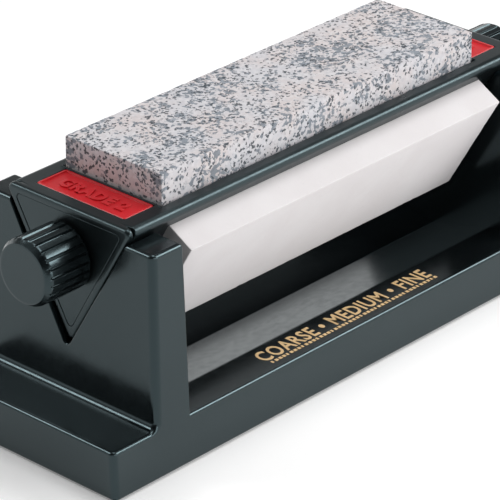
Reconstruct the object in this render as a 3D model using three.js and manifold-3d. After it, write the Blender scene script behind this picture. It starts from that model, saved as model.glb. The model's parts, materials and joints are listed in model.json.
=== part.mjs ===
// Three-sided bench hone: a trough base with two V-notched towers carries a lift-out, three-faced stone holder.
// Millimetres, +Z up. Origin on the table under the centre of the base; X runs along the stones.
import * as THREE from "three";
import { mergeVertices } from "three/addons/utils/BufferGeometryUtils.js";
import Module from "manifold-3d";

const wasm = await Module();
wasm.setup();

// Base
const FOOT_RISE = 1.0; // rubber showing under the moulding
const BASE_HALF_LENGTH = 118.6;
const BASE_HALF_DEPTH = 40.9; // at the table; every long side leans in by DRAFT
const DRAFT = 3.4 / 76.4;
const DECK_RISE = 16.8;
const BASE_CORNER = 2.4;
const EDGE = 0.9; // rounding of the upper edges
const WALL = 2.6;

// Towers
const TOWER_RISE = 76.4;
const TOWER_INNER = 83.3;
const TOWER_OUTER = 97.2; // at the top
const TOWER_LEAN = 2.4; // how much further out the outer face stands at its foot
const TOWER_CORNER = 2.5;

// Oil trough between the towers
const TROUGH_HALF_WIDTH = 25.4;
const TROUGH_DROP = 6.7;

// Holder
const AXIS_Z = 65.05 + FOOT_RISE;
const FACE = 16.4; // axis to each long face
const HOLDER_HALF = 96.8;
const HOLDER_CORNER = 2.1;
const HOLDER_EDGE = 1.2; // rounding of the end edges
const RIM = 2.8; // wall left round each end plate
const PLATE = 2.6;
const FIT = 0.3; // clearance between neighbours
const BORE_FACE = 11.1; // axis to the walls of the hollow core

// Stones: nominal 6 x 1-5/8 x 1/2 inch
const STONE_LENGTH = 152.4;
const STONE_WIDTH = 42.6;
const STONE_THICK = 12.7;
const STONE_TOP = 27.1; // axis to the honing face
const BOND = 0.5;

// Grade labels, on the medium face only
const LABEL_LENGTH = 38.8;
const LABEL_WIDTH = 13.0;
const LABEL_CENTRE = 84.4;
const LABEL_THICK = 0.5;

// Spindle and knobs
const ROD_RADIUS = 2.5;
const ROD_HALF = 109.5;
const KNOB_START = 97.8;
const KNOB_FACE = 116.8;
const KNOB_RADIUS = 11.5;
const KNOB_FLUTES = 24;
const FLUTE_DEPTH = 0.9;
const INSERT_RADIUS = 4.0;

// Feet
const FOOT_RADIUS = 7.0;
const FOOT_THICK = 3.0;
const FOOT_X = 107.0;
const FOOT_Y = 29.0;

const COLOURS = {
  plastic: [0x1c2224, 0.42, 0.0],
  rubber: [0x111212, 0.9, 0.0],
  medium: [0xb9b2b4, 0.9, 0.0],
  fine: [0xe4e0dd, 0.85, 0.0],
  coarse: [0x55565a, 0.95, 0.0],
  bond: [0xc9b98c, 0.7, 0.0],
  label: [0xb8242f, 0.5, 0.0],
  steel: [0xb9bcc0, 0.3, 1.0],
  brass: [0xb8934a, 0.35, 1.0],
};

function material(key) {
  const [color, roughness, metalness] = COLOURS[key];
  return new THREE.MeshStandardMaterial({ color, roughness, metalness });
}

// ---- solids ----

function solid(geometry) {
  const flat = geometry.index ? geometry.toNonIndexed() : geometry.clone();
  flat.deleteAttribute("normal");
  flat.deleteAttribute("uv");
  const merged = mergeVertices(flat, 1e-4);
  return new wasm.Manifold(
    new wasm.Mesh({
      numProp: 3,
      vertProperties: merged.attributes.position.array,
      triVerts: new Uint32Array(merged.index.array),
    }),
  );
}

function geometryOf(body) {
  const mesh = body.getMesh();
  const geometry = new THREE.BufferGeometry();
  geometry.setAttribute("position", new THREE.BufferAttribute(mesh.vertProperties, 3));
  geometry.setIndex(new THREE.BufferAttribute(mesh.triVerts, 1));
  const flat = geometry.toNonIndexed();
  flat.computeVertexNormals();
  return flat;
}

function cut(body, ...tools) {
  return tools.reduce((rest, tool) => rest.subtract(tool), body);
}

function join(first, ...others) {
  return others.reduce((sum, other) => sum.add(other), first);
}

function box(x0, x1, y0, y1, z0, z1) {
  const geometry = new THREE.BoxGeometry(x1 - x0, y1 - y0, z1 - z0);
  return geometry.translate((x0 + x1) / 2, (y0 + y1) / 2, (z0 + z1) / 2);
}

function reshape(geometry, move) {
  const position = geometry.attributes.position;
  const point = new THREE.Vector3();
  for (let i = 0; i < position.count; i++) {
    move(point.fromBufferAttribute(position, i));
    position.setXYZ(i, point.x, point.y, point.z);
  }
  return geometry;
}

function roundedRectangle(halfX, halfY, radius) {
  const shape = new THREE.Shape();
  shape.absarc(halfX - radius, halfY - radius, radius, 0, Math.PI / 2);
  shape.absarc(radius - halfX, halfY - radius, radius, Math.PI / 2, Math.PI);
  shape.absarc(radius - halfX, radius - halfY, radius, Math.PI, 1.5 * Math.PI);
  shape.absarc(halfX - radius, radius - halfY, radius, 1.5 * Math.PI, 2 * Math.PI);
  shape.closePath();
  return shape;
}

// A block standing on z0 whose upper and lower edges are rounded by `edge`.
function standingBlock(halfX, halfY, z0, z1, radius, edge) {
  const outline = roundedRectangle(halfX - edge, halfY - edge, radius);
  const block = new THREE.ExtrudeGeometry(outline, {
    depth: z1 - z0 - 2 * edge,
    bevelEnabled: true,
    bevelThickness: edge,
    bevelSize: edge,
    bevelSegments: 3,
    curveSegments: 5,
  });
  return block.translate(0, 0, z0 + edge);
}

// Turns an outline drawn in (y, z) into a bar along X between x0 and x1.
function barAlongX(outline, x0, x1, curveSegments = 6) {
  const bar = new THREE.ExtrudeGeometry(outline, { depth: x1 - x0, bevelEnabled: false, curveSegments });
  bar.rotateZ(Math.PI / 2);
  bar.rotateY(Math.PI / 2);
  return bar.translate(x0, 0, 0);
}

function rodAlongX(radius, x0, x1, segments = 48) {
  const rod = new THREE.CylinderGeometry(radius, radius, x1 - x0, segments);
  rod.rotateZ(Math.PI / 2);
  return rod.translate((x0 + x1) / 2, 0, 0);
}

function outlineOf(points) {
  return new THREE.Shape(points.map(([y, z]) => new THREE.Vector2(y, z)));
}

// An equilateral outline pointing down: `face` from the centre to each side, corners rounded.
function triangleOutline(face, radius) {
  const shape = new THREE.Shape();
  const reach = 2 * (face - radius);
  for (let k = 0; k < 3; k++) {
    const corner = (Math.PI * (1 + 4 * k)) / 6;
    const x = reach * Math.cos(corner);
    const y = reach * Math.sin(corner);
    shape.absarc(x, y, radius, corner - Math.PI / 3, corner + Math.PI / 3);
  }
  shape.closePath();
  return shape;
}

// ---- base ----

function leanOf(z) {
  return DRAFT * (z - FOOT_RISE);
}

function draftSides(geometry) {
  return reshape(geometry, (p) => {
    p.y -= (Math.sign(p.y) * leanOf(p.z) * Math.min(Math.abs(p.y), BASE_HALF_DEPTH)) / BASE_HALF_DEPTH;
  });
}

function towerBlock(inset, top, floor) {
  const inner = TOWER_INNER + inset;
  const outer = TOWER_OUTER - inset;
  const half = (outer - inner) / 2;
  const radius = Math.max(TOWER_CORNER - inset, 0.4);
  const block = standingBlock(half, BASE_HALF_DEPTH - inset, floor, top, radius, Math.min(EDGE, radius));
  reshape(block, (p) => {
    const share = (p.x + half) / (2 * half);
    const below = 1 - (p.z - FOOT_RISE) / TOWER_RISE;
    p.x += inner + half + TOWER_LEAN * share * below;
  });
  return draftSides(block);
}

// The V seat grown outwards by `grow`, as an endless bar.
function seatBar(grow, x0, x1) {
  const sharp = AXIS_Z - 2 * (FACE + FIT + grow);
  const radius = Math.max(HOLDER_CORNER - FIT - grow, 0.5);
  const top = AXIS_Z + 60;
  const half = (top - sharp) / Math.sqrt(3);
  const shape = new THREE.Shape();
  shape.moveTo(half, top);
  shape.lineTo(-half, top);
  shape.absarc(0, sharp + 2 * radius, radius, (7 * Math.PI) / 6, (11 * Math.PI) / 6);
  shape.closePath();
  return barAlongX(shape, x0, x1, 5);
}

function troughBar(drop, x0, x1) {
  const deck = FOOT_RISE + DECK_RISE;
  const rise = TROUGH_DROP / TROUGH_HALF_WIDTH;
  const wide = TROUGH_HALF_WIDTH + 10;
  return barAlongX(
    outlineOf([
      [-wide, deck + 10 * rise - drop],
      [0, deck - TROUGH_DROP - drop],
      [wide, deck + 10 * rise - drop],
      [wide, deck + 60],
      [-wide, deck + 60],
    ]),
    x0,
    x1,
  );
}

function both(make) {
  return [1, -1].map(make);
}

function mirrored(body, side) {
  return side > 0 ? body : body.mirror([1, 0, 0]);
}

function feetPlaces() {
  return both((x) => both((y) => [x * FOOT_X, y * FOOT_Y])).flat();
}

function uprightDisc(x, y, radius, z0, z1, segments = 40) {
  const disc = new THREE.CylinderGeometry(radius, radius, z1 - z0, segments);
  disc.rotateX(Math.PI / 2);
  return disc.translate(x, y, (z0 + z1) / 2);
}

function underCavity() {
  const deck = FOOT_RISE + DECK_RISE;
  const block = standingBlock(BASE_HALF_LENGTH - WALL, BASE_HALF_DEPTH - WALL, -5, deck - WALL, 1.5, 0.6);
  let cavity = solid(draftSides(block));
  const belowTrough = solid(troughBar(WALL, -TOWER_INNER - WALL, TOWER_INNER + WALL));
  cavity = cut(cavity, belowTrough);
  const ribs = [-56, 0, 56].map((x) => solid(box(x - 0.9, x + 0.9, -60, 60, 4, 40)));
  const posts = feetPlaces().map(([x, y]) => solid(uprightDisc(x, y, FOOT_RADIUS + 2.2, -10, 40)));
  return cut(cavity, ...ribs, ...posts);
}

function towerCavity() {
  const hollow = solid(towerBlock(WALL, FOOT_RISE + TOWER_RISE - WALL, 8));
  return cut(hollow, solid(seatBar(WALL, 60, 120)));
}

function baseShell() {
  const deck = FOOT_RISE + DECK_RISE;
  const top = FOOT_RISE + TOWER_RISE;
  let shell = solid(draftSides(standingBlock(
    BASE_HALF_LENGTH,
    BASE_HALF_DEPTH,
    FOOT_RISE,
    deck,
    BASE_CORNER,
    EDGE,
  )));
  const trough = solid(troughBar(0, -TOWER_INNER, TOWER_INNER));
  shell = cut(shell, trough);
  const tower = cut(solid(towerBlock(0, top, FOOT_RISE + 0.2)), solid(seatBar(0, 60, 120)));
  shell = join(shell, ...both((side) => mirrored(tower, side)));
  shell = cut(shell, underCavity(), ...both((side) => mirrored(towerCavity(), side)));
  const sockets = feetPlaces().map(([x, y]) =>
    solid(uprightDisc(x, y, FOOT_RADIUS + FIT, -5, FOOT_THICK + FIT)));
  return geometryOf(cut(shell, ...sockets));
}

function foot(x, y) {
  const profile = [
    [0, 0],
    [FOOT_RADIUS - 0.6, 0],
    [FOOT_RADIUS, 0.6],
    [FOOT_RADIUS, FOOT_THICK],
    [0, FOOT_THICK],
  ];
  const disc = new THREE.LatheGeometry(profile.map(([r, z]) => new THREE.Vector2(r, z)), 40);
  disc.rotateX(Math.PI / 2);
  return disc.translate(x, y, 0);
}

// ---- holder ----

function pocket(halfX, halfY, depth, centreX) {
  return solid(box(centreX - halfX, centreX + halfX, -halfY, halfY, FACE - depth, FACE + 5));
}

function onFace(body, k) {
  return body.rotate([120 * k, 0, 0]);
}

function holderCore() {
  const outer = new THREE.ExtrudeGeometry(triangleOutline(FACE - HOLDER_EDGE, HOLDER_CORNER - HOLDER_EDGE), {
    depth: 2 * (HOLDER_HALF - HOLDER_EDGE),
    bevelEnabled: true,
    bevelThickness: HOLDER_EDGE,
    bevelSize: HOLDER_EDGE,
    bevelSegments: 3,
    curveSegments: 5,
  });
  outer.rotateZ(Math.PI / 2);
  outer.rotateY(Math.PI / 2);
  outer.translate(HOLDER_EDGE - HOLDER_HALF, 0, 0);
  const socket = barAlongX(triangleOutline(FACE - RIM + FIT, 1.6), HOLDER_HALF - PLATE - 2 * FIT, 120, 4);
  let core = cut(
    solid(outer),
    solid(barAlongX(triangleOutline(BORE_FACE, 1.5), -120, 120, 4)),
    ...both((side) => mirrored(solid(socket), side)),
  );
  const stoneDepth = FACE - (STONE_TOP - STONE_THICK) + BOND + 2 * FIT;
  for (let k = 0; k < 3; k++) {
    const stone = pocket(STONE_LENGTH / 2 + 0.4, STONE_WIDTH / 2 + 0.4, stoneDepth, 0);
    core = cut(core, onFace(stone, k));
  }
  const labelDepth = LABEL_THICK + 2 * FIT;
  const labels = both((side) =>
    pocket(LABEL_WIDTH / 2 + FIT, LABEL_LENGTH / 2 + FIT, labelDepth, side * LABEL_CENTRE));
  return geometryOf(cut(core, ...labels));
}

// Sits in the socket at the end of the core, a little below its rim, with a hollow spigot and a boss.
function endPlate(side) {
  const face = HOLDER_HALF - FIT;
  const back = face - PLATE;
  const plate = solid(barAlongX(triangleOutline(FACE - RIM, 1.3), back, face, 4));
  const spigot = solid(barAlongX(triangleOutline(BORE_FACE - FIT, 1.3), back - 7, back + 1, 4));
  const hollow = solid(barAlongX(triangleOutline(BORE_FACE - FIT - 2, 1.0), back - 8, back, 4));
  const boss = solid(rodAlongX(5.5, back - 7, back + 1, 32));
  const bore = solid(rodAlongX(ROD_RADIUS + FIT, 50, 120, 32));
  const body = cut(join(cut(join(plate, spigot), hollow), boss), bore);
  return geometryOf(mirrored(body, side));
}

function stone() {
  const chamfer = 0.45;
  const outline = roundedRectangle(STONE_LENGTH / 2 - chamfer, STONE_WIDTH / 2 - chamfer, 0.3);
  const slab = new THREE.ExtrudeGeometry(outline, {
    depth: STONE_THICK - 2 * chamfer,
    bevelEnabled: true,
    bevelThickness: chamfer,
    bevelSize: chamfer,
    bevelSegments: 1,
    curveSegments: 2,
  });
  return slab.translate(0, 0, STONE_TOP - STONE_THICK + chamfer);
}

function bondPad() {
  const top = STONE_TOP - STONE_THICK - FIT;
  return box(-STONE_LENGTH / 2 + 3, STONE_LENGTH / 2 - 3, -STONE_WIDTH / 2 + 2, STONE_WIDTH / 2 - 2, top - BOND, top);
}

function label(side) {
  const outline = roundedRectangle(LABEL_WIDTH / 2, LABEL_LENGTH / 2, 0.8);
  const plate = new THREE.ExtrudeGeometry(outline, { depth: LABEL_THICK, bevelEnabled: false, curveSegments: 3 });
  return plate.translate(side * LABEL_CENTRE, 0, FACE - FIT - LABEL_THICK);
}

// ---- knobs ----

function flutedOutline() {
  const points = [];
  const pitch = (2 * Math.PI) / KNOB_FLUTES;
  const steps = [
    [0.0, 0],
    [0.3, 0],
    [0.38, 0.3],
    [0.46, 1],
    [0.54, 1],
    [0.62, 0.3],
    [0.7, 0],
  ];
  for (let k = 0; k < KNOB_FLUTES; k++) {
    for (const [share, depth] of steps) {
      const angle = (k + share) * pitch;
      const radius = KNOB_RADIUS - FLUTE_DEPTH * depth;
      points.push(new THREE.Vector2(radius * Math.cos(angle), radius * Math.sin(angle)));
    }
  }
  return new THREE.Shape(points);
}

function knob(side) {
  const grip = solid(barAlongX(flutedOutline(), KNOB_START, KNOB_FACE - 2.4));
  const nose = new THREE.LatheGeometry(
    [
      [0, KNOB_FACE - 2.8],
      [KNOB_RADIUS - 0.25, KNOB_FACE - 2.8],
      [KNOB_RADIUS - 0.25, KNOB_FACE - 1.5],
      [KNOB_RADIUS - 0.7, KNOB_FACE - 0.4],
      [KNOB_RADIUS - 1.3, KNOB_FACE],
      [0, KNOB_FACE],
    ].map(([r, z]) => new THREE.Vector2(r, z)),
    72,
  );
  nose.rotateZ(-Math.PI / 2);
  const body = cut(
    join(grip, solid(nose)),
    solid(rodAlongX(INSERT_RADIUS + FIT, KNOB_START - 2, KNOB_START + 14)),
  );
  return geometryOf(mirrored(body, side));
}

function sleeve(radius, bore, x0, x1, side) {
  const body = cut(solid(rodAlongX(radius, x0, x1, 40)), solid(rodAlongX(bore, x0 - 1, x1 + 1, 32)));
  return geometryOf(mirrored(body, side));
}

// ---- assembly ----

function add(group, name, geometry, key) {
  const mesh = new THREE.Mesh(geometry, material(key));
  mesh.name = name;
  group.add(mesh);
}

function addBase(root) {
  add(root, "base_shell", baseShell(), "plastic");
  for (const [x, y] of feetPlaces()) {
    const name = "foot_" + (y < 0 ? "front" : "rear") + (x < 0 ? "_left" : "_right");
    add(root, name, foot(x, y), "rubber");
  }
}

function addFace(holder, grade, angle) {
  const face = new THREE.Group();
  face.rotation.x = THREE.MathUtils.degToRad(angle);
  holder.add(face);
  add(face, "stone_" + grade, stone(), grade);
  add(face, "bond_" + grade, bondPad(), "bond");
}

function addEnd(holder, side) {
  const end = side < 0 ? "left" : "right";
  add(holder, "end_plate_" + end, endPlate(side), "plastic");
  const washerStart = HOLDER_HALF + FIT;
  add(holder, "washer_" + end, sleeve(6.0, ROD_RADIUS + FIT, washerStart, washerStart + 0.5, side), "steel");
  add(holder, "knob_" + end, knob(side), "plastic");
  const insertStart = KNOB_START + 0.3;
  add(holder, "insert_" + end, sleeve(INSERT_RADIUS, ROD_RADIUS + FIT, insertStart, insertStart + 12.5, side), "brass");
}

const root = new THREE.Group();
addBase(root);

const holder = new THREE.Group();
holder.position.z = AXIS_Z;
root.add(holder);
add(holder, "holder_core", holderCore(), "plastic");
addFace(holder, "medium", 0);
addFace(holder, "fine", 120);
addFace(holder, "coarse", -120);
add(holder, "label_left", label(-1), "label");
add(holder, "label_right", label(1), "label");
addEnd(holder, -1);
addEnd(holder, 1);
add(holder, "tie_rod", rodAlongX(ROD_RADIUS, -ROD_HALF, ROD_HALF, 32), "steel");

export default root;
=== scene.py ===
import json
import math

import bmesh
import bpy
from mathutils import Matrix, Vector, noise


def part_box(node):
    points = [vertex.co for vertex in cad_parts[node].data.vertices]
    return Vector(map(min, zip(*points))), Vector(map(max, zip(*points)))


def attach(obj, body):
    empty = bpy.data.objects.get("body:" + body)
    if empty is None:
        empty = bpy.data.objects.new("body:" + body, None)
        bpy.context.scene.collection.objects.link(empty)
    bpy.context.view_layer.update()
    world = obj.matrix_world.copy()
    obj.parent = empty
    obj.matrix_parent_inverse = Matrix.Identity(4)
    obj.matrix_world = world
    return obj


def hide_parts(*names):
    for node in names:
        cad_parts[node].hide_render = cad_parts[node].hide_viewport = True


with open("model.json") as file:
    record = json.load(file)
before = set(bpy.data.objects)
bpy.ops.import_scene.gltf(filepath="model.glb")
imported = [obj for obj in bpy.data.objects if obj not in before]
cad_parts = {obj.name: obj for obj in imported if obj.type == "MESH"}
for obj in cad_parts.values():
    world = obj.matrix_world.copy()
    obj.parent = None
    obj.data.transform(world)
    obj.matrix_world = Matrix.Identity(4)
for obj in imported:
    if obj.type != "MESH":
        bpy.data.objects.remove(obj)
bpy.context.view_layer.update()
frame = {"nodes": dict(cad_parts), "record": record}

MM = 0.001

# ---------------------------------------------------------------- sizes, mm (as in part.mjs)

LOW, HIGH = (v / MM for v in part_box("base_shell"))
HALF_LENGTH = HIGH.x
BOTTOM = LOW.z
TOWER_TOP = HIGH.z
HALF_DEPTH = HIGH.y
DRAFT = 3.4 / 76.4
DECK = BOTTOM + 16.8
WALL = 2.6
TOWER_INNER = 83.3
TOWER_OUTER = 97.2
TOWER_LEAN = 2.4 / 76.4
TROUGH_HALF = 25.4
TROUGH_DROP = 6.7
HOLLOW_SPLIT = 86.0
RIB_X, RIB_HALF = 56.0, 0.9
AXIS = 66.05
FACE = 16.4
FIT = 0.3
HOLDER_HALF = 96.8
HOLDER_CORNER = 2.1
RIM = 2.8
END_RECESS = 3.0
POCKET_END_GAP, POCKET_SIDE_GAP = 0.85, 0.5
STONE = Vector((152.4, 42.6, 12.7))
STONE_TOP = 27.1
LABEL = Vector((13.4, 39.2, 0.5))
LABEL_CENTRE = 84.4
KNOB_START, KNOB_FACE, KNOB_RADIUS = 97.8, 116.8, 11.5
FLUTES, FLUTE_DEPTH, POINTS_PER_FLUTE = 24, 0.75, 20
FOOT_RADIUS, FOOT_HEIGHT, FOOT_X, FOOT_Y = 7.0, 3.0, 107.0, 29.0


def depth_at(z):
    return HALF_DEPTH - DRAFT * (z - BOTTOM)


def outer_at(z):
    return TOWER_OUTER + TOWER_LEAN * (TOWER_TOP - z)


# ---------------------------------------------------------------- mesh helpers


def new_object(name, bm, merge=1e-4):
    bmesh.ops.remove_doubles(bm, verts=bm.verts, dist=merge)
    bmesh.ops.recalc_face_normals(bm, faces=bm.faces)
    bmesh.ops.scale(bm, vec=(MM, MM, MM), verts=bm.verts)
    mesh = bpy.data.meshes.new(name)
    bm.to_mesh(mesh)
    bm.free()
    obj = bpy.data.objects.new(name, mesh)
    bpy.context.scene.collection.objects.link(obj)
    return obj


def polygons(name, faces):
    bm = bmesh.new()
    for face in faces:
        bm.faces.new([bm.verts.new(p) for p in face])
    return new_object(name, bm)


def bar_faces(outline, x0, x1):
    """Faces of a bar along X. outline is (y, z) points; x0 and x1 are numbers or functions of z."""
    start = x0 if callable(x0) else lambda z: x0
    end = x1 if callable(x1) else lambda z: x1
    a = [(start(z), y, z) for y, z in outline]
    b = [(end(z), y, z) for y, z in outline]
    n = len(outline)
    sides = [[a[i], a[(i + 1) % n], b[(i + 1) % n], b[i]] for i in range(n)]
    return [a[::-1], b] + sides


def box_faces(x0, x1, y0, y1, z0, z1):
    return bar_faces([(y0, z0), (y1, z0), (y1, z1), (y0, z1)], x0, x1)


def moved(faces, matrix):
    return [[tuple(matrix @ Vector(p)) for p in face] for face in faces]


def evaluated(obj):
    graph = bpy.context.evaluated_depsgraph_get()
    return bpy.data.meshes.new_from_object(obj.evaluated_get(graph))


def cut(obj, *cutters):
    for cutter in cutters:
        step = obj.modifiers.new("cut", "BOOLEAN")
        step.operation = "DIFFERENCE"
        step.solver = "EXACT"
        step.object = cutter
    mesh = evaluated(obj)
    obj.modifiers.clear()
    obj.data = mesh
    for cutter in cutters:
        bpy.data.objects.remove(cutter)
    return obj


def join(first, *others):
    bm = bmesh.new()
    bm.from_mesh(first.data)
    for other in others:
        other.data.transform(other.matrix_world)
        bm.from_mesh(other.data)
        bpy.data.objects.remove(other)
    bm.to_mesh(first.data)
    bm.free()
    return first


def round_edges(obj, width_of, largest, segments, flat_below):
    """Bevels each edge sharper than flat_below degrees by width_of(middle, direction, convex), in mm."""
    bm = bmesh.new()
    bm.from_mesh(obj.data)
    bmesh.ops.remove_doubles(bm, verts=bm.verts, dist=1e-6)
    layers = bm.edges.layers.float
    weight = layers.get("bevel_weight_edge") or layers.new("bevel_weight_edge")
    for edge in bm.edges:
        if len(edge.link_faces) != 2:
            continue
        if math.degrees(edge.calc_face_angle(0)) < flat_below:
            continue
        a, b = edge.verts[0].co / MM, edge.verts[1].co / MM
        width = width_of((a + b) / 2, (b - a).normalized(), edge.is_convex)
        edge[weight] = min(1.0, width / largest)
    bm.to_mesh(obj.data)
    bm.free()
    bevel = obj.modifiers.new("round", "BEVEL")
    bevel.limit_method = "WEIGHT"
    bevel.width = largest * MM
    bevel.segments = segments
    bevel.use_clamp_overlap = False
    bevel.miter_outer = "MITER_ARC"
    mesh = evaluated(obj)
    obj.modifiers.clear()
    obj.data = mesh
    return smooth(obj)


def smooth(obj, angle=35):
    for polygon in obj.data.polygons:
        polygon.use_smooth = True
    obj.data.set_sharp_from_angle(angle=math.radians(angle))
    weigh = obj.modifiers.new("normals", "WEIGHTED_NORMAL")
    weigh.keep_sharp = True
    weigh.weight = 80
    return obj


def bridge(bm, rings):
    """Bands of quads joining each ring to the next."""
    for low, high in zip(rings, rings[1:]):
        for i in range(len(low)):
            j = (i + 1) % len(low)
            bm.faces.new((low[i], low[j], high[j], high[i]))


def loft(name, sections):
    """A closed solid through rings of equal length, capped at both ends."""
    bm = bmesh.new()
    rings = [[bm.verts.new(p) for p in section] for section in sections]
    bridge(bm, rings)
    bm.faces.new(rings[0][::-1])
    bm.faces.new(rings[-1])
    return new_object(name, bm, 1e-5)


def turned(name, profile, segments):
    """A solid of revolution about Z from (radius, height) points."""
    bm = bmesh.new()
    rings = []
    for radius, height in profile:
        ring = []
        for k in range(segments):
            angle = 2 * math.pi * k / segments
            ring.append(bm.verts.new((radius * math.cos(angle), radius * math.sin(angle), height)))
        rings.append(ring)
    bridge(bm, rings)
    bmesh.ops.remove_doubles(bm, verts=bm.verts, dist=1e-5)
    return new_object(name, bm)


# ---------------------------------------------------------------- materials


class Nodes:
    """Short names for building one material's node tree."""

    def __init__(self, name):
        self.material = bpy.data.materials.new(name)
        self.material.use_nodes = True
        self.tree = self.material.node_tree
        self.shader = self.tree.nodes["Principled BSDF"]
        self.place = self.add("ShaderNodeTexCoord").outputs["Object"]

    def add(self, kind, **values):
        node = self.tree.nodes.new(kind)
        for key, value in values.items():
            setattr(node, key, value)
        return node

    def link(self, a, b):
        self.tree.links.new(a, b)

    def set(self, **values):
        for key, value in values.items():
            self.shader.inputs[key.replace("_", " ")].default_value = value

    def noise(self, scale, detail=3.0, rough=0.5, warp=0.0, stretch=None):
        """Noise whose features are about 1/scale metres apart. stretch is (x, y, z) or (x, y, z, shift)."""
        node = self.add("ShaderNodeTexNoise")
        node.inputs["Scale"].default_value = scale
        node.inputs["Detail"].default_value = detail
        node.inputs["Roughness"].default_value = rough
        node.inputs["Distortion"].default_value = warp
        self.link(self.spot(stretch), node.inputs["Vector"])
        return node.outputs["Fac"]

    def cells(self, scale, place):
        """A Voronoi pattern with cells about 1/scale metres across."""
        node = self.add("ShaderNodeTexVoronoi")
        node.inputs["Scale"].default_value = scale
        self.link(place, node.inputs["Vector"])
        return node

    def warped(self, scale, amount):
        """The object's own coordinates, pushed about by noise by up to amount metres."""
        node = self.add("ShaderNodeTexNoise")
        node.inputs["Scale"].default_value = scale
        self.link(self.place, node.inputs["Vector"])
        push = self.add("ShaderNodeVectorMath", operation="MULTIPLY_ADD")
        self.link(node.outputs["Color"], push.inputs[0])
        push.inputs[1].default_value = (amount,) * 3
        self.link(self.place, push.inputs[2])
        return push.outputs["Vector"]

    def grains(self, scale, place):
        """A random number from 0 to 1 for each grain of a packed aggregate."""
        split = self.add("ShaderNodeSeparateColor")
        self.link(self.cells(scale, place).outputs["Color"], split.inputs["Color"])
        return split.outputs["Red"]

    def spot(self, stretch):
        """The object's own coordinates, stretched and shifted."""
        if stretch is None:
            return self.place
        node = self.add("ShaderNodeMapping")
        node.inputs["Scale"].default_value = stretch[:3]
        if len(stretch) > 3:
            node.inputs["Location"].default_value = (stretch[3],) * 3
        self.link(self.place, node.inputs["Vector"])
        return node.outputs["Vector"]

    def ramp(self, value, low, high, to_low=0.0, to_high=1.0):
        node = self.add("ShaderNodeMapRange", clamp=True, interpolation_type="SMOOTHSTEP")
        ends = {"From Min": low, "From Max": high, "To Min": to_low, "To Max": to_high}
        for key, number in ends.items():
            node.inputs[key].default_value = number
        self.link(value, node.inputs["Value"])
        return node.outputs["Result"]

    def maths(self, kind, a, b):
        node = self.add("ShaderNodeMath", operation=kind)
        for socket, value in zip(node.inputs, (a, b)):
            if isinstance(value, (int, float)):
                socket.default_value = value
            else:
                self.link(value, socket)
        return node.outputs["Value"]

    def colour(self, share, a, b):
        """Colour a where share is 0, b where it is 1."""
        node = self.add("ShaderNodeMix", data_type="RGBA")
        factor, first, second = node.inputs[0], node.inputs[6], node.inputs[7]
        for socket, value in zip((factor, first, second), (share, a, b)):
            if isinstance(value, tuple):
                socket.default_value = (*value, 1.0)
            elif isinstance(value, (int, float)):
                socket.default_value = value
            else:
                self.link(value, socket)
        return node.outputs[2]

    def bump(self, height, depth, strength):
        node = self.add("ShaderNodeBump")
        node.inputs["Strength"].default_value = strength
        node.inputs["Distance"].default_value = depth
        self.link(height, node.inputs["Height"])
        return node.outputs["Normal"]

    def use(self, base=None, roughness=None, normal=None):
        for key, value in (("Base Color", base), ("Roughness", roughness), ("Normal", normal)):
            if value is not None:
                self.link(value, self.shader.inputs[key])
        return self.material


def edge_wear_and_sheen(n, radius):
    """0 on flats, 1 on edges, broken up by noise. It lightens worn edges on the plastic, and paints a
    highlight on the red label's rim and letters.
    """
    turned_normal = n.add("ShaderNodeBevel", samples=4)
    turned_normal.inputs["Radius"].default_value = radius
    dot = n.add("ShaderNodeVectorMath", operation="DOT_PRODUCT")
    n.link(turned_normal.outputs["Normal"], dot.inputs[0])
    n.link(n.add("ShaderNodeNewGeometry").outputs["Normal"], dot.inputs[1])
    edge = n.ramp(dot.outputs["Value"], 0.99, 0.85)
    patches = n.ramp(n.noise(180, 4), 0.42, 0.62)
    return n.maths("MULTIPLY", edge, patches)


def plastic(name, smoothest):
    """Moulded black plastic. smoothest is its lowest roughness."""
    n = Nodes(name)
    cloud = n.noise(35, 3)
    grain = n.noise(2600, 2)
    base = n.colour(cloud, (0.0024, 0.0032, 0.0036), (0.0040, 0.0052, 0.0058))
    # edges a little lighter, as worn plastic
    base = n.colour(n.maths("MULTIPLY", edge_wear_and_sheen(n, 0.0007), 0.22), base, (0.035, 0.042, 0.045))
    rough = n.ramp(cloud, 0.3, 0.7, smoothest, smoothest + 0.04)
    rough = n.maths("ADD", rough, n.ramp(n.noise(420, 4), 0.35, 0.65, 0.0, 0.05))
    n.set(Specular_IOR_Level=0.66, Specular_Tint=(0.66, 0.93, 1.0, 1.0))
    return n.use(base, rough, n.bump(grain, 0.00003, 0.12))


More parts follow.
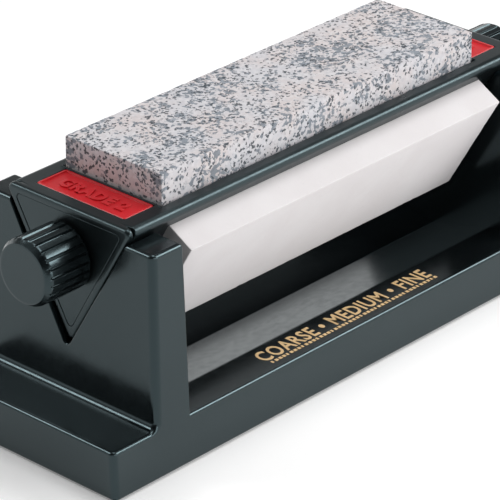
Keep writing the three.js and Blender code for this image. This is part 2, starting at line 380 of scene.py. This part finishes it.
def medium_stone():
    """Packed pinkish and grey grains, with dark specks all over and slate grains in drifts."""
    n = Nodes("medium_stone")
    pink = n.ramp(n.noise(55, 4, 0.6), 0.36, 0.64)
    ground = n.colour(pink, (0.575, 0.57, 0.60), (0.615, 0.555, 0.55))
    pale = n.ramp(n.grains(900, n.warped(900, 0.0008)), 0.45, 1.0, 0.0, 0.6)
    ground = n.colour(pale, ground, (0.68, 0.665, 0.68))
    grey = n.ramp(n.noise(430, 5, 0.65), 0.52, 0.66, 0.0, 0.30)
    ground = n.colour(grey, ground, (0.40, 0.41, 0.45))
    drift = n.ramp(n.noise(70, 5, 0.66, stretch=(0.7, 1, 1, -0.23)), 0.43, 0.63, 0.09, 0.62)
    jagged = n.warped(1300, 0.0012)
    large = n.ramp(n.maths("SUBTRACT", drift, n.grains(820, jagged)), 0.0, 0.12)
    spread = n.ramp(n.noise(130, 3, stretch=(1, 1, 1, 0.3)), 0.38, 0.64, 0.09, 0.25)
    fine = n.grains(1250, n.warped(2000, 0.0009))
    small = n.ramp(n.maths("SUBTRACT", spread, fine), 0.0, 0.04)
    slate = n.colour(n.grains(820, jagged), (0.12, 0.15, 0.18), (0.36, 0.40, 0.45))
    base = n.colour(n.maths("MULTIPLY", large, 0.85), ground, slate)
    base = n.colour(n.maths("MULTIPLY", small, 0.9), base, (0.045, 0.056, 0.068))
    pits = n.maths("SUBTRACT", n.noise(900, 4), n.maths("MAXIMUM", large, small))
    n.set(Roughness=0.78, Specular_IOR_Level=0.3)
    return n.use(base, None, n.bump(pits, 0.0001, 0.4))


def fine_stone():
    n = Nodes("fine_stone")
    cloud = n.noise(38, 5, 0.6, 0.4)
    base = n.colour(n.ramp(cloud, 0.35, 0.68), (0.69, 0.66, 0.665), (0.72, 0.695, 0.70))
    base = n.colour(n.ramp(n.noise(900, 3, 0.6), 0.62, 0.74, 0.0, 0.3), base, (0.56, 0.54, 0.54))
    n.set(Roughness=0.62, Specular_IOR_Level=0.35)
    return n.use(base, None, n.bump(n.noise(1300, 4, 0.6), 0.00006, 0.4))


def coarse_stone():
    n = Nodes("coarse_stone")
    grit = n.noise(1500, 3, 0.65)
    base = n.colour(n.ramp(grit, 0.36, 0.64), (0.035, 0.036, 0.040), (0.15, 0.15, 0.155))
    glints = n.cells(1100, n.place).outputs["Distance"]
    base = n.colour(n.ramp(glints, 0.0, 0.16, 0.8, 0.0), base, (0.36, 0.36, 0.37))
    n.set(Roughness=0.9, Specular_IOR_Level=0.3)
    return n.use(base, None, n.bump(grit, 0.00025, 0.8))


def red_label():
    n = Nodes("red_label")
    cloud = n.noise(120, 3)
    base = n.colour(cloud, (0.55, 0.010, 0.016), (0.62, 0.016, 0.024))
    # painted highlight: the rim and letter edges turn a brighter red, standing in for light catching them
    base = n.colour(n.maths("MULTIPLY", edge_wear_and_sheen(n, 0.0004), 0.6), base, (0.86, 0.13, 0.13))
    n.set(Roughness=0.30, Specular_IOR_Level=0.35)
    return n.use(base, None, n.bump(n.noise(2200, 2), 0.00003, 0.3))


def gold_print():
    n = Nodes("gold_print")
    base = n.colour(n.noise(700, 4), (0.66, 0.44, 0.20), (0.86, 0.62, 0.33))
    n.set(Roughness=0.42, Metallic=0.15)
    return n.use(base, None, n.bump(n.noise(1800, 2), 0.00002, 0.3))


def metal(name, dark, light, rough):
    n = Nodes(name)
    turning = n.noise(900, 3, 0.6, stretch=(6, 1, 1))
    n.set(Metallic=1.0)
    roughness = n.ramp(turning, 0.3, 0.7, rough, rough + 0.15)
    return n.use(n.colour(turning, dark, light), roughness, n.bump(turning, 0.00003, 0.4))


def rubber():
    n = Nodes("foot_rubber")
    cloud = n.noise(300, 4)
    n.set(Specular_IOR_Level=0.3)
    base = n.colour(cloud, (0.012, 0.012, 0.012), (0.024, 0.024, 0.025))
    return n.use(base, n.ramp(cloud, 0.3, 0.7, 0.72, 0.9), n.bump(n.noise(1700, 3), 0.00008, 0.6))


def bond():
    n = Nodes("bond_pad")
    cloud = n.noise(160, 4)
    base = n.colour(cloud, (0.50, 0.41, 0.20), (0.62, 0.53, 0.30))
    return n.use(base, n.ramp(cloud, 0.3, 0.7, 0.5, 0.7), n.bump(cloud, 0.0002, 0.5))


LOOKS = {
    "black_plastic": plastic("black_plastic", 0.16),
    "medium_stone": medium_stone(),
    "fine_stone": fine_stone(),
    "coarse_stone": coarse_stone(),
    "red_label": red_label(),
    "rod_steel": metal("rod_steel", (0.42, 0.43, 0.45), (0.60, 0.61, 0.63), 0.25),
    "insert_brass": metal("insert_brass", (0.55, 0.36, 0.12), (0.72, 0.50, 0.20), 0.25),
    "foot_rubber": rubber(),
    "bond_pad": bond(),
}
HOLDER_PLASTIC = plastic("holder_plastic", 0.27)
GOLD = gold_print()


def piece(obj, body, slot, *nodes, look=None):
    """Gives a finished mesh its material and its body, and hides the CAD nodes that it stands for."""
    obj.data.materials.clear()
    obj.data.materials.append(look or LOOKS[slot])
    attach(obj, body)
    if nodes:
        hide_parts(*nodes)
    return obj


# ---------------------------------------------------------------- base


def seat_path():
    """The V seat, from its rear lip down round the bottom and up to the front lip."""
    sharp = AXIS - 2 * (FACE + FIT)
    radius = HOLDER_CORNER - FIT
    half = (TOWER_TOP - sharp) / math.sqrt(3)
    path = [(half, TOWER_TOP)]
    for k in range(9):
        angle = math.radians(330 - 15 * k)
        path.append((radius * math.cos(angle), sharp + 2 * radius + radius * math.sin(angle)))
    return path + [(-half, TOWER_TOP)]


def base_skin():
    """The outside of the base, as one closed surface with square edges."""
    zb, zd, zt = BOTTOM, DECK, TOWER_TOP
    xi, length = TOWER_INNER, HALF_LENGTH
    seat = seat_path()
    half = seat[0][0]
    valley = zd - TROUGH_DROP
    outline = [(length, zb), (length, zd), (outer_at(zd), zd), (outer_at(zt), zt), (xi, zt), (xi, zd)]
    outline += [(-x, z) for x, z in reversed(outline)]
    faces = [[(x, side * depth_at(z), z) for x, z in outline] for side in (-1, 1)]
    yb, yd, yt = depth_at(zb), depth_at(zd), depth_at(zt)
    faces.append([(-length, -yb, zb), (length, -yb, zb), (length, yb, zb), (-length, yb, zb)])
    steps = [(-yd, zd), (-TROUGH_HALF, zd), (0, valley), (TROUGH_HALF, zd), (yd, zd)]
    for (y0, z0), (y1, z1) in zip(steps, steps[1:]):
        faces.append([(-xi, y0, z0), (xi, y0, z0), (xi, y1, z1), (-xi, y1, z1)])
    for s in (-1, 1):
        xe, xd = s * length, s * outer_at(zd)
        faces.append([(xe, -yb, zb), (xe, yb, zb), (xe, yd, zd), (xe, -yd, zd)])
        faces.append([(xd, -yd, zd), (xe, -yd, zd), (xe, yd, zd), (xd, yd, zd)])
        outer = [(-yt, zt), (-yd, zd), (yd, zd), (yt, zt)] + seat
        faces.append([(s * outer_at(z), y, z) for y, z in outer])
        inner = [(-yt, zt)] + steps + [(yt, zt)] + seat
        faces.append([(s * xi, y, z) for y, z in inner])
        for (y0, z0), (y1, z1) in zip(seat, seat[1:]):
            x0, x1 = s * outer_at(z0), s * outer_at(z1)
            faces.append([(s * xi, y0, z0), (x0, y0, z0), (x1, y1, z1), (s * xi, y1, z1)])
        for side in (-1, 1):
            xo = s * outer_at(zt)
            y0, y1 = side * half, side * yt
            faces.append([(s * xi, y0, zt), (xo, y0, zt), (xo, y1, zt), (s * xi, y1, zt)])
    return polygons("base_shell_skin", faces)


def base_hollows():
    """What is taken out from below: the bays under the trough, and the inside of each plinth and tower."""
    top = DECK - WALL
    ledge = BOTTOM + 3.0
    inside = HALF_DEPTH - WALL
    reach = HALF_LENGTH - WALL
    roof = [(-inside, ledge), (inside, ledge), (inside - 0.6, top), (TROUGH_HALF, top),
            (0, top - TROUGH_DROP), (-TROUGH_HALF, top), (0.6 - inside, top)]
    plain = [(-inside, ledge), (inside, ledge), (inside - 0.6, top), (0.6 - inside, top)]
    faces = []
    faces.append(box_faces(-reach, reach, -inside, inside, -5, ledge + 0.01))
    bays = [(RIB_HALF, RIB_X - RIB_HALF), (RIB_X + RIB_HALF, HOLLOW_SPLIT)]
    for x0, x1 in [(-b, -a) for a, b in reversed(bays)] + bays:
        faces.append(bar_faces(roof, x0, x1))
    sharp = AXIS - 2 * (FACE + FIT + WALL)
    crown = TOWER_TOP - WALL
    half = (crown - sharp) / math.sqrt(3)
    edge = depth_at(crown) - WALL
    horn = [(-inside + 0.8, top - 1), (inside - 0.8, top - 1), (edge, crown), (half, crown),
            (0.8, sharp + 1.4), (-0.8, sharp + 1.4), (-half, crown), (-edge, crown)]
    for s in (-1, 1):
        x0, x1 = sorted((s * HOLLOW_SPLIT, s * reach))
        faces.append(bar_faces(plain, x0, x1))
        faces.append(bar_faces(horn, s * HOLLOW_SPLIT, lambda z, s=s: s * (outer_at(z) - WALL)))
    return [polygons("hollow", f) for f in faces]


def base_edges(middle, direction, convex):
    """How far each edge of the base is rounded, in mm."""
    x, y, z = abs(middle.x), abs(middle.y), middle.z
    upright = abs(direction.z) > 0.8
    if z < BOTTOM + 0.3:
        return 0.5
    if abs(direction.x) > 0.9 and y < 3 and 30 < z < AXIS:
        return 0.0
    if not convex and z > BOTTOM + 3.5 and abs(z - DECK) < 0.5 and x > TOWER_INNER + 2:
        return 2.4
    if not convex and abs(x - TOWER_INNER) < 0.5 and z <= DECK + 0.5:
        return 0.0
    if upright and abs(x - HALF_LENGTH) < 0.5:
        return 2.4
    if upright and y > 30 and x > TOWER_INNER + 3 and z > DECK:
        return 2.6
    if upright and y > 30 and abs(x - TOWER_INNER) < 1:
        return 1.0
    if abs(z - TOWER_TOP) < 0.3:
        return 1.5 if y > 26.5 or abs(direction.x) < 0.5 else 0.5
    if x < TOWER_INNER + 0.5 and abs(y - TROUGH_HALF) < 0.3 and abs(z - DECK) < 0.3:
        return 0.8
    if y > 33 or abs(x - HALF_LENGTH) < 0.5:
        return 1.4
    if z > DECK + 5 and x > TOWER_INNER + 3:
        return 0.5
    return 0.4


def foot_post(x, y):
    """The socket under the deck that holds one foot."""
    ring = FOOT_RADIUS + FIT
    seat = FOOT_HEIGHT + FIT
    mouth = BOTTOM + 0.2
    root = DECK - WALL + 0.3
    profile = [(0, seat), (ring, seat), (ring, mouth), (ring + 1.8, mouth), (ring + 2.2, root), (0, root)]
    post = turned("post", profile, 48)
    post.location = (x * MM, y * MM, 0)
    bpy.context.view_layer.update()
    return post


def foot_profile():
    """A disc with a raised ring and a raised rim underneath."""
    r, top = FOOT_RADIUS, FOOT_HEIGHT
    ring = [(0, 0.5), (2.4, 0.5), (2.7, 0.05), (4.3, 0.05), (4.6, 0.5)]
    rim = [(5.2, 0.5), (5.5, 0.0), (r - 0.5, 0.0), (r - 0.1, 0.3), (r, 0.8)]
    return ring + rim + [(r, top), (0, top)]


def make_base():
    base = cut(base_skin(), *base_hollows())
    base = round_edges(base, base_edges, 2.6, 5, 12)
    base.modifiers.clear()
    spots = [(x, y) for x in (-FOOT_X, FOOT_X) for y in (-FOOT_Y, FOOT_Y)]
    join(base, *[foot_post(x, y) for x, y in spots])
    smooth(base)
    base.name = "base_moulding"
    piece(base, "base", "black_plastic", "base_shell")
    for x, y in spots:
        node = "foot_" + ("front" if y < 0 else "rear") + ("_left" if x < 0 else "_right")
        foot = turned(node + "_disc", foot_profile(), 56)
        foot.location = (x * MM, y * MM, 0)
        bpy.context.view_layer.update()
        piece(smooth(foot), "base", "foot_rubber", node)


# ---------------------------------------------------------------- holder


def triangle(face, radius, steps=8):
    """A triangle of (y, z) points with round corners, its sides face from the middle."""
    points = []
    for k in range(3):
        corner = math.pi * (1 + 4 * k) / 6
        for i in range(steps + 1):
            angle = corner - math.pi / 3 + 2 * math.pi / 3 * i / steps
            y = 2 * (face - radius) * math.cos(corner) + radius * math.cos(angle)
            z = 2 * (face - radius) * math.sin(corner) + radius * math.sin(angle)
            points.append((y, z))
    return points


TO_AXIS = Matrix.Translation((0, 0, AXIS))


def on_face(k):
    """From a face's own frame (its outward normal +Z, the axis at 0) to the holder in mm."""
    return TO_AXIS @ Matrix.Rotation(math.radians(120 * k), 4, "X")


GRADES = (("medium", 0), ("fine", 1), ("coarse", -1))


def across(x, face, radius):
    """The holder's triangular section at x."""
    return [(x, y, AXIS + z) for y, z in triangle(face, radius)]


def quarter(tip, face, long, wide, steps=6):
    """Sections round the end of a bar, from its end face at tip out to its side, in an elliptical sweep."""
    for i in range(steps + 1):
        angle = math.pi / 2 * i / steps
        yield tip - long + long * math.cos(angle), face - wide + wide * math.sin(angle)


def pocket_edges(middle, direction, convex):
    """Rounds the mouths of the pockets, and leaves the holder's ends as they were lofted."""
    return 0.3 if convex and abs(middle.x) < HOLDER_HALF - 2 else 0.0


def holder_skin():
    """The outside of the holder: a prism with a recess and a rounded rim at each end."""
    inner = FACE - RIM + 0.2
    tip = HOLDER_HALF
    half = [across(tip - END_RECESS, inner, 1.6), across(tip - 0.3, inner, 1.6)]
    half += [across(tip - 0.06, inner + 0.04, 1.6), across(tip, inner + 0.2, 1.6)]
    for x, face in quarter(tip, FACE, 1.3, 1.35):
        half.append(across(x, face, HOLDER_CORNER - FACE + face))
    notch = ((2.1, 0), (2.4, 1.5), (3.0, 1.5), (3.3, 0))
    half += [across(tip - x, FACE, HOLDER_CORNER + cut_back) for x, cut_back in notch]
    other = [[(-x, y, z) for x, y, z in section] for section in half]
    return loft("holder_skin", half + other[::-1])


def make_end_plugs():
    inner = FACE - RIM + 0.14
    for s, side in ((-1, "left"), (1, "right")):
        sections = [across(s * (HOLDER_HALF - END_RECESS), inner, 1.5)]
        rounding = list(quarter(HOLDER_HALF - 0.15, inner, 0.3, 0.3))[::-1]
        sections += [across(s * x, face, 1.44 + face - inner) for x, face in rounding]
        plate = smooth(loft("end_plug_" + side, sections))
        piece(plate, "holder", "black_plastic", "end_plate_" + side, look=HOLDER_PLASTIC)


def make_holder():
    core = holder_skin()
    pocket_x = STONE.x / 2 + POCKET_END_GAP
    pocket_y = STONE.y / 2 + POCKET_SIDE_GAP
    floor = STONE_TOP - STONE.z - 1.1
    for _, k in GRADES:
        faces = box_faces(-pocket_x, pocket_x, -pocket_y, pocket_y, floor, FACE + 4)
        cut(core, polygons("pocket", moved(faces, on_face(k))))
    ridges = []
    for s in (-1, 1):
        a, b = sorted((s * (LABEL_CENTRE - LABEL.x / 2), s * (LABEL_CENTRE + LABEL.x / 2)))
        faces = box_faces(a, b, -LABEL.y / 2, LABEL.y / 2, FACE - 1.1, FACE + 4)
        cut(core, polygons("pocket", moved(faces, TO_AXIS)))
        x = s * (pocket_x + LABEL_CENTRE - LABEL.x / 2) / 2
        profile = [(-0.3, -0.4), (-0.3, 0.1), (-0.15, 0.35), (0.15, 0.35), (0.3, 0.1), (0.3, -0.4)]
        ends = [[(x + u, y, AXIS + FACE + v) for u, v in profile] for y in (-pocket_y, pocket_y)]
        ridges.append(loft("ridge", ends))
    core = round_edges(core, pocket_edges, 0.3, 3, 25)
    core.modifiers.clear()
    join(core, *ridges)
    smooth(core)
    core.name = "holder_moulding"
    piece(core, "holder", "black_plastic", "holder_core", look=HOLDER_PLASTIC)
    make_end_plugs()


def make_stone(grade, k):
    """A stone with small bevels, its edges chipped unevenly by noise."""
    band = 0.8
    bm = bmesh.new()
    bmesh.ops.create_cube(bm, size=1.0)
    bmesh.ops.scale(bm, vec=STONE, verts=bm.verts)
    bmesh.ops.bevel(bm, geom=list(bm.edges), offset=0.3, segments=2, affect="EDGES", profile=0.5)
    long_edges = [e for e in bm.edges if e.calc_length() > 100]
    bmesh.ops.subdivide_edges(bm, edges=long_edges, cuts=95, use_grid_fill=True)
    wide = [e for e in bm.edges if 30 < e.calc_length() < 60]
    bmesh.ops.subdivide_edges(bm, edges=wide, cuts=27, use_grid_fill=True)
    half = STONE / 2
    seed = Vector((7.1 * k, 3.3, 1.7 * k))
    chip = 0.2 if grade == "fine" else 0.28
    for v in bm.verts:
        near = [abs(abs(v.co[i]) - half[i]) < band for i in range(3)]
        if sum(near) >= 2:
            bite = max(0.0, noise.noise(v.co * 0.55 + seed) - 0.15) * chip
            bite += max(0.0, noise.noise(v.co * 0.16 - seed)) * chip * 0.4
            v.co -= Vector([math.copysign(bite, c) if close else 0 for c, close in zip(v.co, near)])
    bmesh.ops.translate(bm, vec=(0, 0, STONE_TOP - STONE.z / 2), verts=bm.verts)
    bmesh.ops.transform(bm, matrix=on_face(k), verts=bm.verts)
    stone = new_object("hone_" + grade, bm, 1e-6)
    piece(smooth(stone, 50), "holder", grade + "_stone", "stone_" + grade)


def lettering(words, cap_height, width, thick, weight, edge, spacing):
    """Raised words as one mesh in mm, centred, reading along +X with +Z up.

    weight thickens the strokes and edge rounds them, both as shares of the letters' size.
    """
    curve = bpy.data.curves.new("words", "FONT")
    curve.body = words
    curve.align_x = "CENTER"
    curve.space_character = spacing
    curve.size = 1.0
    curve.offset = weight
    curve.extrude = 0.5 - edge
    curve.bevel_depth = edge
    curve.bevel_resolution = 1
    curve.resolution_u = 3
    text = bpy.data.objects.new("words", curve)
    bpy.context.scene.collection.objects.link(text)
    bpy.context.view_layer.update()
    mesh = evaluated(text)
    bpy.data.objects.remove(text)
    xs = [v.co.x for v in mesh.vertices]
    ys = [v.co.y for v in mesh.vertices]
    grow = Vector((width / (max(xs) - min(xs)), cap_height / (max(ys) - min(ys)), thick))
    shift = Vector(((max(xs) + min(xs)) / 2, (max(ys) + min(ys)) / 2, -0.5))
    for v in mesh.vertices:
        v.co = (v.co - shift) * grow
    bm = bmesh.new()
    bm.from_mesh(mesh)
    bmesh.ops.remove_doubles(bm, verts=bm.verts, dist=1e-4)
    bpy.data.meshes.remove(mesh)
    return bm


def make_label(side):
    """A plate with a raised rim and raised letters. Heights are from the holder's face."""
    half_x, half_y = LABEL.x / 2, LABEL.y / 2
    top, floor, base = -0.05, -0.6, -1.05
    levels = [(0.05, base), (0.05, top - 0.15), (0.2, top), (0.8, top), (1.05, floor), (1.2, floor)]
    bm = bmesh.new()
    rings = []
    for inset, z in levels:
        outline = []
        radius = max(0.25, 1.0 - inset)
        for i, (sx, sy) in enumerate(((1, 1), (-1, 1), (-1, -1), (1, -1))):
            for j in range(5):
                angle = math.pi / 2 * (i + j / 4)
                cx, cy = sx * (half_x - inset - radius), sy * (half_y - inset - radius)
                x, y = cx + radius * math.cos(angle), cy + radius * math.sin(angle)
                outline.append(bm.verts.new((x, y, z)))
        rings.append(outline)
    bridge(bm, rings)
    bm.faces.new(rings[-1])
    bm.faces.new(rings[0][::-1])
    size = {"cap_height": 5.8, "width": 29.0, "thick": 0.55}
    words = lettering("GRADE 2", **size, weight=0.014, edge=0.035, spacing=1.15)
    mesh = bpy.data.meshes.new("words")
    words.to_mesh(mesh)
    words.free()
    turn = Matrix.Rotation(math.radians(90 * side), 4, "Z")
    mesh.transform(Matrix.Translation((0, 0, floor - 0.02)) @ turn)
    bm.from_mesh(mesh)
    bpy.data.meshes.remove(mesh)
    place = TO_AXIS @ Matrix.Translation((side * LABEL_CENTRE, 0, FACE))
    bmesh.ops.transform(bm, matrix=place, verts=bm.verts)
    end = "left" if side < 0 else "right"
    plate = new_object("grade_plate_" + end, bm, 1e-6)
    piece(smooth(plate), "holder", "red_label", "label_" + end)


# ---------------------------------------------------------------- knobs


def flute_depth(share):
    """How deep the groove is at this share of one flute's pitch: flat lands, narrow round grooves."""
    away = abs(share - 0.5)
    return math.cos(away / 0.17 * math.pi / 2) ** 0.7 if away < 0.17 else 0.0


def knob_ring(bm, x, radius, share=0.0):
    """A ring about the holder's axis, fluted to this share of the full depth."""
    count = FLUTES * POINTS_PER_FLUTE
    ring = []
    for i in range(count):
        angle = 2 * math.pi * i / count
        groove = flute_depth((i % POINTS_PER_FLUTE) / POINTS_PER_FLUTE)
        r = radius - FLUTE_DEPTH * share * groove
        ring.append(bm.verts.new((x, r * math.cos(angle), AXIS + r * math.sin(angle))))
    return ring


def make_knob(side, end):
    start, face, land = KNOB_START, KNOB_FACE, KNOB_RADIUS
    stations = [
        (start - 0.05, 4.4, 0),
        (start, land - 0.9, 0),
        (start + 0.15, land - 0.45, 0.2),
        (start + 0.5, land - 0.15, 0.7),
        (start + 1.1, land, 1),
        (start + 8.2, land, 1),
        (face - 2.6, land, 1),
        (face - 2.2, land - 0.04, 0.9),
        (face - 1.85, land - 0.14, 0.5),
        (face - 1.6, land - 0.3, 0),
        (face - 0.7, land - 0.95, 0),
        (face - 0.35, land - 1.15, 0),
        (face - 0.1, land - 1.3, 0),
        (face, land - 1.6, 0),
        (face, land - 2.3, 0),
        (face, 6, 0),
        (face, 3, 0),
    ]
    bm = bmesh.new()
    rings = [knob_ring(bm, side * x, radius, share) for x, radius, share in stations]
    bridge(bm, rings)
    bm.faces.new(rings[0][::-1])
    bm.faces.new(rings[-1])
    knob = new_object("knob_grip_" + end, bm, 1e-6)
    piece(smooth(knob, 40), "holder", "black_plastic", "knob_" + end)


# ---------------------------------------------------------------- print on the front rail


def make_legend():
    """The three grades, with a row of short dashes under them."""
    middle = -(TROUGH_HALF + depth_at(DECK)) / 2
    ink = 0.05
    dashes, first, pitch = 46, -41.0, 1.82
    words = "COARSE • MEDIUM • FINE"
    bm = lettering(words, cap_height=6.6, width=84.0, thick=ink, weight=0.02, edge=0.0, spacing=1.1)
    bmesh.ops.translate(bm, vec=(0, middle + 1.5, DECK), verts=bm.verts)
    y0, y1 = middle - 3.9, middle - 2.6
    for k in range(dashes):
        x0 = first + pitch * k
        x1 = x0 + (1.3 if k % 4 else 0.9)
        corners = ((x0, y0), (x1, y0), (x1, y1), (x0, y1))
        bm.faces.new([bm.verts.new((x, y, DECK + ink)) for x, y in corners])
    legend = new_object("rail_legend", bm, 1e-6)
    piece(legend, "base", "black_plastic", look=GOLD)


# ---------------------------------------------------------------- carried-over nodes


def dress_nodes():
    slots = {s["node"]: s["material_slot"] for s in frame["record"]["subparts"]}
    for name, obj in frame["nodes"].items():
        obj.data.materials.clear()
        obj.data.materials.append(LOOKS[slots[name]])
        smooth(obj, 30)


# ---------------------------------------------------------------- studio


AIM = Vector((0, 0, 0.05))


def area(name, place, size, power):
    """A rectangular light, aimed at the middle of the object."""
    light = bpy.data.lights.new(name, "AREA")
    light.shape = "RECTANGLE"
    light.size, light.size_y = size
    light.energy = power
    obj = bpy.data.objects.new(name, light)
    obj.location = place
    obj.rotation_euler = (AIM - Vector(place)).to_track_quat("-Z", "Y").to_euler()
    bpy.context.scene.collection.objects.link(obj)


def floor_disc():
    bm = bmesh.new()
    bmesh.ops.create_circle(bm, cap_ends=True, segments=96, radius=4000)
    floor = new_object("table", bm)
    n = Nodes("table_white")
    n.set(Roughness=0.9, Specular_IOR_Level=0.1, Emission_Color=(1, 1, 1, 1), Emission_Strength=0.16)
    white = n.colour(n.noise(3, 2), (0.88, 0.88, 0.88), (0.90, 0.90, 0.90))
    floor.data.materials.append(n.use(white))


def surroundings():
    """A soft room: brightest low down, and dimmer towards the front left."""
    world = bpy.data.worlds.new("studio")
    bpy.context.scene.world = world
    world.use_nodes = True
    tree = world.node_tree
    coordinate = tree.nodes.new("ShaderNodeTexCoord")
    split = tree.nodes.new("ShaderNodeSeparateXYZ")
    tree.links.new(coordinate.outputs["Generated"], split.inputs["Vector"])
    ramp = tree.nodes.new("ShaderNodeValToRGB")
    steps = [(0.0, 1.15), (0.18, 1.15), (0.34, 0.45), (0.50, 0.14), (0.75, 0.22), (1.0, 0.55)]
    while len(ramp.color_ramp.elements) < len(steps):
        ramp.color_ramp.elements.new(0.5)
    for element, (at, value) in zip(ramp.color_ramp.elements, steps):
        element.position = at
        element.color = (value, value, value, 1)
    tree.links.new(split.outputs["Z"], ramp.inputs["Fac"])
    side = tree.nodes.new("ShaderNodeVectorMath")
    side.operation = "DOT_PRODUCT"
    side.inputs[1].default_value = (-0.74, -0.67, 0.0)
    tree.links.new(coordinate.outputs["Generated"], side.inputs[0])
    dim = tree.nodes.new("ShaderNodeMapRange")
    for key, number in (("From Min", 0.1), ("From Max", 0.7), ("To Min", 1.0), ("To Max", 0.15)):
        dim.inputs[key].default_value = number
    tree.links.new(side.outputs["Value"], dim.inputs["Value"])
    background = tree.nodes["Background"]
    tree.links.new(ramp.outputs["Color"], background.inputs["Color"])
    tree.links.new(dim.outputs["Result"], background.inputs["Strength"])


def studio():
    floor_disc()
    surroundings()
    area("overhead", (0.2, -0.1, 1.2), (0.8, 0.6), 6.0)
    area("front_right", (0.85, -0.75, 0.75), (0.6, 0.5), 9)
    area("rear_left", (-0.58, 0.79, 0.85), (0.42, 0.34), 3.6)
    area("low_front", (0.1, -1.6, 0.3), (1.6, 0.5), 7.5)
    bpy.context.scene.view_settings.view_transform = "Standard"


AZIMUTH, ELEVATION, DISTANCE = -47.39, 26.78, 1.20248
AIM_RIGHT, AIM_UP = -0.00827, -0.01768
SENSOR, LENS_TO_SENSOR = 36, 7.196


def camera():
    """A long lens at the photograph's viewing angle, front left and above."""
    azimuth, elevation = math.radians(AZIMUTH), math.radians(ELEVATION)
    level = math.cos(elevation)
    back = Vector((math.sin(azimuth) * level, -math.cos(azimuth) * level, math.sin(elevation)))
    right = Vector((math.cos(azimuth), math.sin(azimuth), 0))
    up = back.cross(right)
    target = Vector((0, 0, 0.051)) + right * AIM_RIGHT + up * AIM_UP
    data = bpy.data.cameras.new("camera")
    data.sensor_width = SENSOR
    data.lens = SENSOR * LENS_TO_SENSOR
    data.clip_start, data.clip_end = 0.05, 50
    obj = bpy.data.objects.new("camera", data)
    obj.location = target + back * DISTANCE
    obj.rotation_mode = "QUATERNION"
    obj.rotation_quaternion = back.to_track_quat("Z", "Y")
    bpy.context.scene.collection.objects.link(obj)
    bpy.context.scene.camera = obj


camera()
dress_nodes()
make_base()
make_legend()
make_holder()
for grade, k in GRADES:
    make_stone(grade, k)
make_label(-1)
make_label(1)
make_knob(-1, "left")
make_knob(1, "right")
studio()
